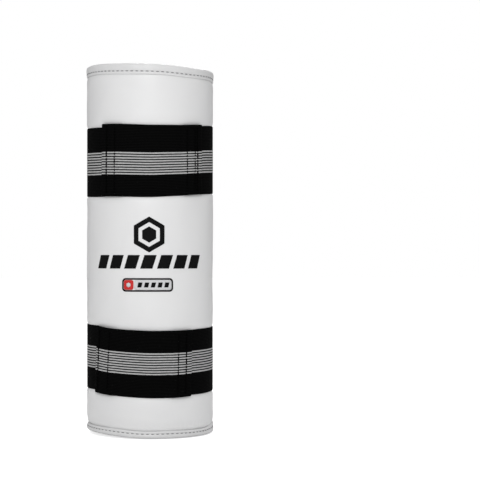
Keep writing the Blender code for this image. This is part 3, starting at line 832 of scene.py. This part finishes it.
def binding(name, table, nodes, width=W_BIND, low_width=5.3, lap=None, step=0.8):
    """A folded tape along one edge, with its stitches. lap is how its free end meets the other strip: over, under or none."""
    path = resample(table, step)
    bend = bend_of(path)
    run = np.arange(len(path)) * np.linalg.norm(np.diff(path, axis=0), axis=1).mean()
    total = run[-1]
    free_end = 0 if abs(path[0, 0]) > 1 else (len(path) - 1 if abs(path[-1, 0]) > 1 else None)
    seeds = {"upper": 11.0, "lower": 12.0, "inner": 13.0}[name]
    seam_at, lift_at = np.empty(len(path)), np.empty(len(path))
    wobble = np.array([noise.noise(Vector((s / 30.0, seeds, 0.0))) for s in run])
    corner = np.clip(bend * 28, 0, 1)
    level = smooth(np.abs(path[:, 0]) / 9)  # the tape runs on past the front centre line, so nothing varies there

    def section(i):
        style = float(edge_style(path[i, 0], path[i, 1]))
        turned = float(smooth((abs(float(deg_of(path[i, 0]))) - 125) / 30))
        w = width * style + low_width * (1 - style) + 0.25 * wobble[i] * level[i]
        seam = (5.45 + 0.35 * turned) * style + 3.4 * (1 - style)
        if path[i, 1] < 70:
            seam -= 1.1 * style * float(1 - smooth((abs(float(deg_of(path[i, 0]))) - 92) / 30))
        seam_at[i] = seam
        s, n_out, n_edge = tape_section(w, seam)
        d, h = s[:, 0].copy(), s[:, 1].copy()
        along = np.zeros(len(s))
        end = abs(run[i] - (0 if free_end == 0 else total)) if free_end is not None else 1e9
        # Dimples between the stitches, and folds where the edge turns.
        dimple = 0.5 + 0.5 * math.cos(2 * math.pi * run[i] / PITCH)
        near = np.exp(-(((d - seam) / 1.1) ** 2))
        sign = np.where(h >= 0, 1.0, -1.0)
        thin = np.clip((np.abs(h) - 1.5) / 0.5, 0, 1)
        h += sign * thin * 0.16 * near * (1 - level[i] + level[i] * dimple)
        slack = (0.14 + 0.50 * corner[i] + 0.16 * turned) * level[i]
        fold = np.array([noise.noise(Vector(((run[i] + sg * dd * 0.9) / 4.6, sg * 2.0, seeds + dd / 9.0))) for dd, sg in zip(d, sign)])
        fine = np.array([noise.noise(Vector((run[i] / 1.9, dd / 2.5, seeds + sg))) for dd, sg in zip(d, sign)])
        h += sign * thin * (slack * fold + 0.07 * level[i] * fine)
        # Short creases across the bead that start at the stitches, and slanted folds on its inner face.
        crease = np.array([noise.noise(Vector(((run[i] + 0.35 * dd) / 2.1, dd / 9.0, seeds + 9.0))) for dd in d])
        h -= (sign > 0) * thin * level[i] * (0.12 + 0.5 * corner[i]) * np.clip(crease - 0.18, 0, 1) * np.exp(-(((d - seam + 1.2) / 2.0) ** 2)) * 1.6
        inner_side = (sign < 0) * thin
        slanted = np.array([noise.noise(Vector(((run[i] + 1.5 * dd) / 4.2, dd / 12.0, seeds + 5))) for dd in d])
        h -= inner_side * level[i] * (1.1 * slanted - 0.3 * np.abs(slanted))
        h -= (sign > 0) * thin * (1 - style) * 1.1 * np.clip((d - (w - 1.6)) / 1.6, 0, 1) ** 2
        d += 0.22 * wobble[i] * level[i] * (d > 3)
        lift = 0.0
        if lap == "over":
            lift = 1.15 * float(smooth((14 - end) / 10))
        elif lap == "under":
            lift = -0.15 * float(smooth((12 - end) / 8))
        if lap == "over" and end < 6:
            along = -np.sign(1) * (1 - end / 6) * 1.5 * np.clip(d, 0, 5.0)
            if free_end != 0:
                along = -along
        lift_at[i] = lift - 0.3 * (1 - style)
        h += lift_at[i]
        return np.stack([d, h, along], axis=1)

    obj, points = sweep(f"binding_{name}", path, section, "binding")
    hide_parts(*nodes)
    flap_blend(obj)

    # Stitches: short arched threads.
    nrm, tan = normals(path), tangents(path)
    # Half a pitch from the front centre line, so that the stitches run on past it evenly.
    first, last = (1.2 if free_end == 0 else PITCH / 2), total - (1.2 if free_end else PITCH / 2)
    sites = np.linspace(first, last, round((last - first) / PITCH) + 1)
    if lap == "over":  # the slanted cut leaves room for two more stitches
        sites = np.concatenate([[1.2 - 2 * PITCH + 0.4, 1.2 - PITCH], sites])
    verts, faces, which = [], [], []
    sides_, rings_ = 6, 7
    for centre in sites:
        base_index = len(verts)
        for k in range(rings_):
            t = (k / (rings_ - 1) - 0.5) * 2
            s = centre + t * 1.12
            i = np.interp(s, run, np.arange(len(run)))
            i0 = int(min(max(math.floor(i), 0), len(path) - 2))
            f = i - i0
            p = path[i0] * (1 - f) + path[i0 + 1] * f + min(s, 0.0) * tan[i0]
            nn = nrm[i0]
            seam = seam_at[i0]
            wide = 0.25 * math.sqrt(max(0.0, 1 - t**4)) + 0.03
            arch = 0.16 * (1 - t * t) - 0.10
            for j in range(sides_):
                ang = 2 * math.pi * j / sides_
                q = p + (seam + 0.22 * wobble[i0] * level[i0] + wide * math.cos(ang)) * nn
                sink = float(press(np.array([q[0]]), np.array([q[1]]))[0][0])
                r = float(base(deg_of(q[0]))) - sink - MID + 1.98 + lift_at[i0] + arch + wide * math.sin(ang)
                verts.append(place(np.array(q[0]), np.array(q[1]), np.array(r)))
        for k in range(rings_ - 1):
            for j in range(sides_):
                a0 = base_index + k * sides_ + j
                a1 = base_index + k * sides_ + (j + 1) % sides_
                faces.append((a0, a1, a1 + sides_, a0 + sides_))
        faces.append(tuple(base_index + j for j in reversed(range(sides_))))
        faces.append(tuple(base_index + (rings_ - 1) * sides_ + j for j in range(sides_)))
    obj = fix(mesh_object(f"seam_{name}", np.array(verts), faces, ["seam"]))
    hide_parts(*[n.replace("_binding", "_seam_thread") for n in nodes])
    flap_blend(obj)


binding("upper", UPPER_EDGE, ["front_top_binding", "outer_flap_upper_binding"], lap="over")
binding("lower", LOWER_EDGE, ["front_bottom_binding", "outer_flap_lower_binding"], lap="under")
binding("inner", LEFT_EDGE, ["front_top_binding", "front_bottom_binding", "inner_flap_binding"])


# ------------------------------------------------------------------ elastic straps


def taut_outline(tip):
    """The radius of a taut strap at any angle, from the convex outline of the sleeve."""
    outline = [(R * math.sin(math.radians(t)), -R * math.cos(math.radians(t))) for t in np.arange(-112, tip + 0.01, 0.5)]
    outline += [
        (float(base(t)) * math.sin(math.radians(t)), -float(base(t)) * math.cos(math.radians(t)))
        for t in np.arange(-160, -112, 0.5)
    ]
    outline = sorted(outline)
    sides = []
    for run in (outline, outline[::-1]):
        side = []
        for p in run:
            while len(side) > 1 and (side[-1][0] - side[-2][0]) * (p[1] - side[-2][1]) <= (side[-1][1] - side[-2][1]) * (p[0] - side[-2][0]):
                side.pop()
            side.append(p)
        sides += side[:-1]
    hull = np.array(sides)
    # Round off the corner at the flap's end, as thick elastic does.
    angle = np.unwrap(np.arctan2(hull[:, 0], -hull[:, 1]))
    turn = np.arange(-180.0, 180.0, 1.0)
    radius = []
    for t in turn:
        ray = np.array([math.sin(math.radians(t)), -math.cos(math.radians(t))])
        best = R
        for p, q in zip(hull, np.roll(hull, -1, axis=0)):
            m = np.array([ray, p - q]).T
            if abs(np.linalg.det(m)) > 1e-12:
                x, s = np.linalg.solve(m, p)
                if x > 0 and -1e-9 <= s <= 1 + 1e-9:
                    best = min(best, x)
        radius.append(best)
    radius = np.array(radius)
    kernel = np.hanning(9)[1:-1]
    kernel /= kernel.sum()
    radius = np.convolve(np.concatenate([radius[-3:], radius, radius[:3]]), kernel, mode="valid")
    full = np.concatenate([turn - 360, turn, turn + 360])
    return lambda d: np.interp(d, full, np.tile(radius, 3))


def ribbon(name, turns, low, high, radius, thick, band, key, lean=(0, 0)):
    """A woven strip with nine raised cords and rounded selvedges, as a closed solid."""
    across = 150
    v = np.linspace(0, 1, across + 1)
    cord = (v - band[0]) / (band[1] - band[0]) * 9
    ridge = np.where((cord > 0) & (cord < 9), 0.13 * np.sqrt(np.clip(1 - (np.abs(cord % 1 - 0.5) / 0.42) ** 2, 0, 1)), 0.05)
    edge = np.minimum(v, 1 - v) * 48
    soft = np.sqrt(np.clip(1 - (1 - np.clip(edge / 0.9, 0, 1)) ** 2, 0, 1))
    points, uv = [], []
    n = len(turns)
    run = np.concatenate([[0], np.cumsum(np.radians(np.diff(turns)) * R)])
    for sgn in (1, -1):
        for i in range(n):
            z = high[i] + (low[i] - high[i]) * v
            shift = 0.0
            if lean[0] and i < 12:
                shift = lean[0] * (1 - i / 12) * (v - 0.5)
            if lean[1] and i > n - 13:
                shift = lean[1] * (1 - (n - 1 - i) / 12) * (v - 0.5) * 1.0
            d = turns[i] - np.degrees(shift / R) * np.ones_like(v)
            half = thick / 2
            lift = half * soft + ridge * (soft if sgn > 0 else 0)
            r = radius[i] + half + sgn * lift
            end = min(i, n - 1 - i)
            if end == 0:
                r = radius[i] + half + sgn * lift * 0.72
            t = np.radians(d)
            p = np.stack([r * np.sin(t), -r * np.cos(t), z], axis=1) * MM
            points.append(p)
            uv.append(np.stack([np.full_like(v, run[i] / 100), v], axis=1))
    points = np.concatenate(points)
    # A slow sway of the whole strip.
    sway = rnd(points, 60.0, 21.0)
    points[:, 2] += sway * 0.35 * MM
    k = across + 1
    faces = []
    for i in range(n - 1):
        for j in range(across):
            a0, a1 = i * k + j, i * k + j + 1
            faces.append((a0, a1, a1 + k, a0 + k))
            b0, b1 = a0 + n * k, a1 + n * k
            faces.append((b0, b0 + k, b1 + k, b1))
    for j in range(across):
        faces.append((j, j + n * k, j + 1 + n * k, j + 1))
        a0 = (n - 1) * k + j
        faces.append((a0, a0 + 1, a0 + 1 + n * k, a0 + n * k))
    for i in range(n - 1):
        a0 = i * k
        faces.append((a0, a0 + k, a0 + k + n * k, a0 + n * k))
        a0 = i * k + across
        faces.append((a0, a0 + n * k, a0 + k + n * k, a0 + k))
    obj = mesh_object(name, points, faces, [key], None, None, np.concatenate(uv))
    bm_merge(obj)
    return fix(obj)


def bm_merge(obj):
    """Joins the two faces where the selvedges meet."""
    import bmesh

    bm = bmesh.new()
    bm.from_mesh(obj.data)
    bmesh.ops.remove_doubles(bm, verts=bm.verts, dist=2e-6)
    bmesh.ops.dissolve_degenerate(bm, dist=1e-7, edges=bm.edges)
    bmesh.ops.recalc_face_normals(bm, faces=bm.faces)
    bm.to_mesh(obj.data)
    bm.free()


def stitch_row(name, key, rows, radius_of, nodes):
    """Rows of short vertical stitches sewn through both layers of a strap."""
    verts, faces = [], []
    sides_, rings_ = 6, 7
    for turn, wide0, pitch in rows:
        low, high = strap_edges(key, turn, "strip")
        count = int((high - low - 3) / pitch)
        lean = STRAPS[key]["lean"][0 if turn < 0 else 1]
        for c in range(count):
            centre = low + 2 + (c + 0.5) * pitch
            start = len(verts)
            for k in range(rings_):
                t = (k / (rings_ - 1) - 0.5) * 2
                z = centre + t * (pitch * 0.5 - 0.16)
                share = (z - low) / (high - low)
                skew = lean * (share - 0.5) if abs(turn) > 20 else 0
                wide = (wide0 + 0.09) * math.sqrt(max(0.0, 1 - t**6)) + 0.03
                arch = 0.20 * (1 - t * t) - 0.02
                for j in range(sides_):
                    ang = 2 * math.pi * j / sides_
                    r = radius_of(turn) + arch + wide * math.sin(ang)
                    d = math.radians(turn) + (skew + wide * math.cos(ang)) / r
                    verts.append((r * math.sin(d) * MM, -r * math.cos(d) * MM, z * MM))
            for k in range(rings_ - 1):
                for j in range(sides_):
                    a0 = start + k * sides_ + j
                    a1 = start + k * sides_ + (j + 1) % sides_
                    faces.append((a0, a1, a1 + sides_, a0 + sides_))
            faces.append(tuple(start + j for j in reversed(range(sides_))))
            faces.append(tuple(start + (rings_ - 1) * sides_ + j for j in range(sides_)))
    obj = fix(mesh_object(name, np.array(verts), faces, ["row"]))
    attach(obj, "front_panel")
    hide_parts(*nodes)


THICK = 1.35
for key, strap in STRAPS.items():
    taut = taut_outline(strap["tip"])
    low_front, high_front = strap["front"]
    over = 17.0
    # The back strip runs from under one end of the front strip, round the back, to under the other.
    turns = np.arange(high_front - over, 360 + low_front + over, 1.1)
    signed = np.where(turns > 200, turns - 360, turns)
    low, high = strap_edges(key, signed)
    ends = np.minimum(turns - turns[0], turns[-1] - turns)
    narrow = 2.0 * (1 - smooth((ends - over + 7) / 6))
    radius = taut(turns) - PRESS + 0.05
    back = ribbon(f"strap_{key}_back", turns, low + narrow, high - narrow, radius, THICK, strap["back_band"], f"{key}_back")
    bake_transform(back)
    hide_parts(f"{key}_back_strap")

    turns = np.linspace(low_front, high_front, 76)
    low, high = strap_edges(key, turns, "strip")
    ends = np.minimum(turns - turns[0], turns[-1] - turns)
    lift = 1 - smooth((ends - over - 0.5) / 6)
    top = lambda t: R - PRESS + 0.05 + (THICK + 0.12) * (1 - float(smooth((min(t - low_front, high_front - t) - over - 0.5) / 6)))
    radius = np.array([top(t) for t in turns])
    front = ribbon(f"strap_{key}_front", turns, low, high, radius, THICK + 0.1, strap["band"], f"{key}_front", strap["lean"])
    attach(front, "front_panel")
    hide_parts(f"{key}_front_strap")
    rows = [f"{key}_{s}_{p}_stitch_row" for s in ("left", "right") for p in ("outer", "inner")]
    stitch_row(f"strap_{key}_stitches", key, strap["rows"], lambda t: top(t) + THICK + 0.22, rows)


# ------------------------------------------------------------------ plain films in place of printed marks


def film(name, side, polygon, holes, slot, thick=0.10, above=0.07):
    """A thin flat shape, given as points (distance round the arm, height), laid on the cover."""

    def dense(loop):
        out = []
        for p, q in zip(loop, loop[1:] + loop[:1]):
            count = max(1, round(math.dist(p, q) / 1.2))
            out += [(p[0] + (q[0] - p[0]) * i / count, p[1] + (q[1] - p[1]) * i / count) for i in range(count)]
        return out

    loops = [dense(polygon)] + [dense(h) for h in holes]
    points, edges = [], []
    for loop in loops:
        start = len(points)
        points += loop
        edges += [(start + i, start + (i + 1) % len(loop)) for i in range(len(loop))]
    outline = np.array(loops[0])
    (a0, z0), (a1, z1) = outline.min(axis=0), outline.max(axis=0)
    grid = np.array([(a, z) for a in np.arange(a0 + 0.7, a1, 1.3) for z in np.arange(z0 + 0.7, z1, 1.3)]).reshape(-1, 2)
    if len(grid):
        keep = inside(grid, outline)
        for loop in loops[1:]:
            keep &= ~inside(grid, np.array(loop))
        for loop in loops:
            closed = np.array(loop + loop[:1])
            if keep.any():
                keep &= nearest(grid, closed)[0] > 0.45
        points += [tuple(p) for p in grid[keep]]
    found = delaunay_2d_cdt([Vector(p) for p in points], edges, [], 0, 1e-7)
    out = np.array([tuple(v) for v in found[0]])
    faces = np.array([tuple(f) for f in found[2]])
    p, q, s = (out[faces[:, i]] for i in range(3))
    turn = (q[:, 0] - p[:, 0]) * (s[:, 1] - p[:, 1]) - (q[:, 1] - p[:, 1]) * (s[:, 0] - p[:, 0])
    faces[turn < 0] = faces[turn < 0][:, ::-1]
    centre = out[faces].mean(axis=1)
    keep = inside(centre, outline) & (np.abs(turn) > 1e-5)
    for loop in loops[1:]:
        keep &= ~inside(centre, np.array(loop))
    faces = faces[keep]
    r = np.empty(len(out))
    for half, mask in (("right", out[:, 0] >= 0), ("left", out[:, 0] < 0)):
        if mask.any():
            r[mask] = cover_radius(half, out[mask, 0], out[mask, 1])[0]
    top = place(out[:, 0], out[:, 1], r + above + thick)
    under = place(out[:, 0], out[:, 1], r + above)
    count = len(top)
    directed = set()
    for f in faces.tolist():
        directed |= {(f[0], f[1]), (f[1], f[2]), (f[2], f[0])}
    rim = sorted((x, y) for x, y in directed if (y, x) not in directed)
    solid = faces.tolist() + [[v + count for v in reversed(f)] for f in faces.tolist()]
    for x, y in rim:
        solid += [[y, x, x + count], [y, x + count, y + count]]
    used = sorted({v for f in solid for v in f})
    index = {v: i for i, v in enumerate(used)}
    every = np.concatenate([top, under])[used]
    obj = mesh_object(name, every, [[index[v] for v in f] for f in solid], [slot])
    return fix(obj)


def rounded(a0, a1, z0, z1, r, steps=6):
    out = []
    for ca, cz, start in ((a1 - r, z1 - r, 0), (a0 + r, z1 - r, 90), (a0 + r, z0 + r, 180), (a1 - r, z0 + r, 270)):
        out += [(ca + r * math.cos(math.radians(start + 90 * i / steps)), cz + r * math.sin(math.radians(start + 90 * i / steps))) for i in range(steps + 1)]
    return out


def hexagon(a, z, r, squash=1.0):
    return [(a + r * squash * math.cos(math.radians(60 * i + 30)), z + r * math.sin(math.radians(60 * i + 30))) for i in range(6)]


marks = []
marks.append((film("emblem_ring", "front", hexagon(-0.6, 141.6, 12.4), [hexagon(-0.6, 141.6, 8.6)], "black"), ["front_emblem"], "black_film"))
marks.append((film("emblem_core", "front", hexagon(-0.6, 141.6, 5.6), [], "black"), [], "black_film"))
count, a0, a1, slant = 7, -42.0, 40.0, 3.0
wide = (a1 - a0) / count
for i in range(count):
    left = a0 + i * wide
    block = [(left, 118.0), (left + wide - 3.2, 118.0), (left + wide - 3.2 + slant, 127.4), (left + slant, 127.4)]
    marks.append((film(f"front_block_{i + 1}", "front", block, [], "black"), ["front_bar"] if i == 0 else [], "black_film"))
marks.append((film("badge_frame", "front", rounded(-20.0, 16.4, 102.0, 111.4, 2.6), [rounded(-18.9, 15.3, 103.1, 110.3, 1.7)], "black"), ["front_badge"], "grey_film"))
marks.append((film("badge_tab", "front", rounded(-18.7, -11.6, 103.3, 110.1, 1.4), [], "red"), [], "grey_film"))
marks.append((film("badge_field", "front", rounded(-10.9, 15.1, 103.3, 110.1, 1.4), [], "pale"), [], "grey_film"))
marks.append((film("badge_spot", "front", hexagon(-15.2, 106.7, 1.7), [], "pale", above=0.22), [], "grey_film"))
for i in range(5):
    left = -8.9 + i * 4.7
    marks.append((film(f"badge_bar_{i + 1}", "front", [(left, 105.0), (left + 2.9, 105.0), (left + 3.7, 108.4), (left + 0.8, 108.4)], [], "black", above=0.22), [], "black_film"))
x = float(arc_of(147.8))
top = 161.5
for i, length in enumerate((9.0, 13.0, 13.0, 9.0, 13.0, 9.0)):
    marks.append((film(f"flap_dash_{i + 1}", "back", rounded(x - 1.5, x + 1.5, top - length, top, 0.6), [], "black"), ["outer_flap_stripe"] if i == 0 else [], "black_film"))
    top -= length + 2.6
x = float(arc_of(160.5))
marks.append((film("flap_tag", "back", rounded(x + 2.0, x + 5.2, 119.6, 124.6, 0.4), [], "green"), [], "black_film"))
for i, (low, high) in enumerate(((113.8, 129.4), (115.0, 128.6))):
    marks.append((film(f"flap_tag_line_{i + 1}", "back", rounded(x - 2.2 + i * 2.1, x - 1.4 + i * 2.1, low, high, 0.35), [], "grey"), [], "black_film"))
x = float(arc_of(-153.5))


def leaning(loop):
    """The pill-shaped label leans a little, as the flap it is on does."""
    return [(a + 0.075 * (z - 121.0), z) for a, z in loop]


marks.append((film("label_frame", "back", leaning(rounded(x - 3.8, x + 3.8, 104.2, 137.8, 3.7)), [leaning(rounded(x - 3.1, x + 3.1, 104.9, 137.1, 3.0))], "grey"), ["inner_flap_label"], "grey_film"))
marks.append((film("label_dot", "back", leaning(rounded(x - 2.9, x + 2.9, 105.1, 110.9, 2.85)), [leaning(rounded(x - 1.1, x + 1.1, 106.9, 109.1, 1.05))], "grey"), [], "grey_film"))
for i in range(3):
    marks.append((film(f"label_bar_{i + 1}", "back", leaning(rounded(x - 1.5, x + 1.5, 114.2 + i * 6.6, 118.6 + i * 6.6, 0.7)), [leaning(rounded(x - 0.7, x + 0.7, 115.0 + i * 6.6, 117.8 + i * 6.6, 0.4))], "grey"), [], "grey_film"))
for obj, nodes, slot in marks:
    if nodes:
        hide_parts(*nodes)
    if obj.name.startswith("flap"):
        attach(obj, "outer_flap")
    elif obj.name.startswith("label"):
        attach(obj, "inner_flap")
    else:
        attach(obj, "front_panel")


# ------------------------------------------------------------------ stage, lights and camera


def stage():
    """A plain pale floor, which looks evenly white from above and near its edge."""
    m, tree, b = shader("floor_pale", (0.90, 0.90, 0.90), 0.8, Specular_IOR_Level=0.1)
    n = Nodes(tree)
    seen = n.new("ShaderNodeLightPath").outputs["Is Camera Ray"]
    b.inputs["Emission Color"].default_value = (1, 1, 1, 1)
    tree.links.new(n.math("MULTIPLY", seen, 0.74), b.inputs["Emission Strength"])
    mesh = bpy.data.meshes.new("floor")
    mesh.from_pydata([(-6, -6, 0), (6, -6, 0), (6, 6, 0), (-6, 6, 0)], [], [(0, 1, 2, 3)])
    mesh.materials.append(m)
    obj = bpy.data.objects.new("floor", mesh)
    bpy.context.scene.collection.objects.link(obj)
    obj.location.z = -0.0005


def area(name, at, aim, size, power, colour=(1, 1, 1)):
    light = bpy.data.lights.new(name, "AREA")
    light.shape = "RECTANGLE"
    light.size, light.size_y = size
    light.energy = power
    light.color = colour
    obj = bpy.data.objects.new(name, light)
    obj.location = at
    obj.rotation_euler = (Vector(aim) - Vector(at)).to_track_quat("-Z", "Y").to_euler()
    bpy.context.scene.collection.objects.link(obj)


stage()
world = bpy.data.worlds.new("studio")
world.use_nodes = True
world.node_tree.nodes["Background"].inputs[0].default_value = (1, 1, 1, 1)
wn = Nodes(world.node_tree)
seen = wn.new("ShaderNodeLightPath").outputs["Is Camera Ray"]
world.node_tree.links.new(wn.ramp(seen, 0.0, 1.0, 0.33, 1.0), world.node_tree.nodes["Background"].inputs[1])
bpy.context.scene.world = world
area("front_box", (-0.12, -1.5, 0.80), (0, 0, 0.13), (0.8, 0.9), 11.8)
area("top_box", (0, 0, 1.7), (0, 0, 0), (2.6, 2.6), 10)
area("back_box", (0.30, 1.32, 1.25), (0, 0, 0.13), (0.7, 0.6), 12.0)

cam = bpy.data.cameras.new("camera")
cam.lens = 110.6
cam.sensor_width = 36
cam.shift_x = 0.1875
cam.shift_y = 0.0235
cam.clip_start = 0.05
camera = bpy.data.objects.new("camera", cam)
camera.location = (0, -1.065, 0.130)
camera.rotation_euler = (math.pi / 2, 0, 0)
bpy.context.scene.collection.objects.link(camera)
bpy.context.scene.camera = camera
bpy.context.scene.view_settings.view_transform = "Standard"
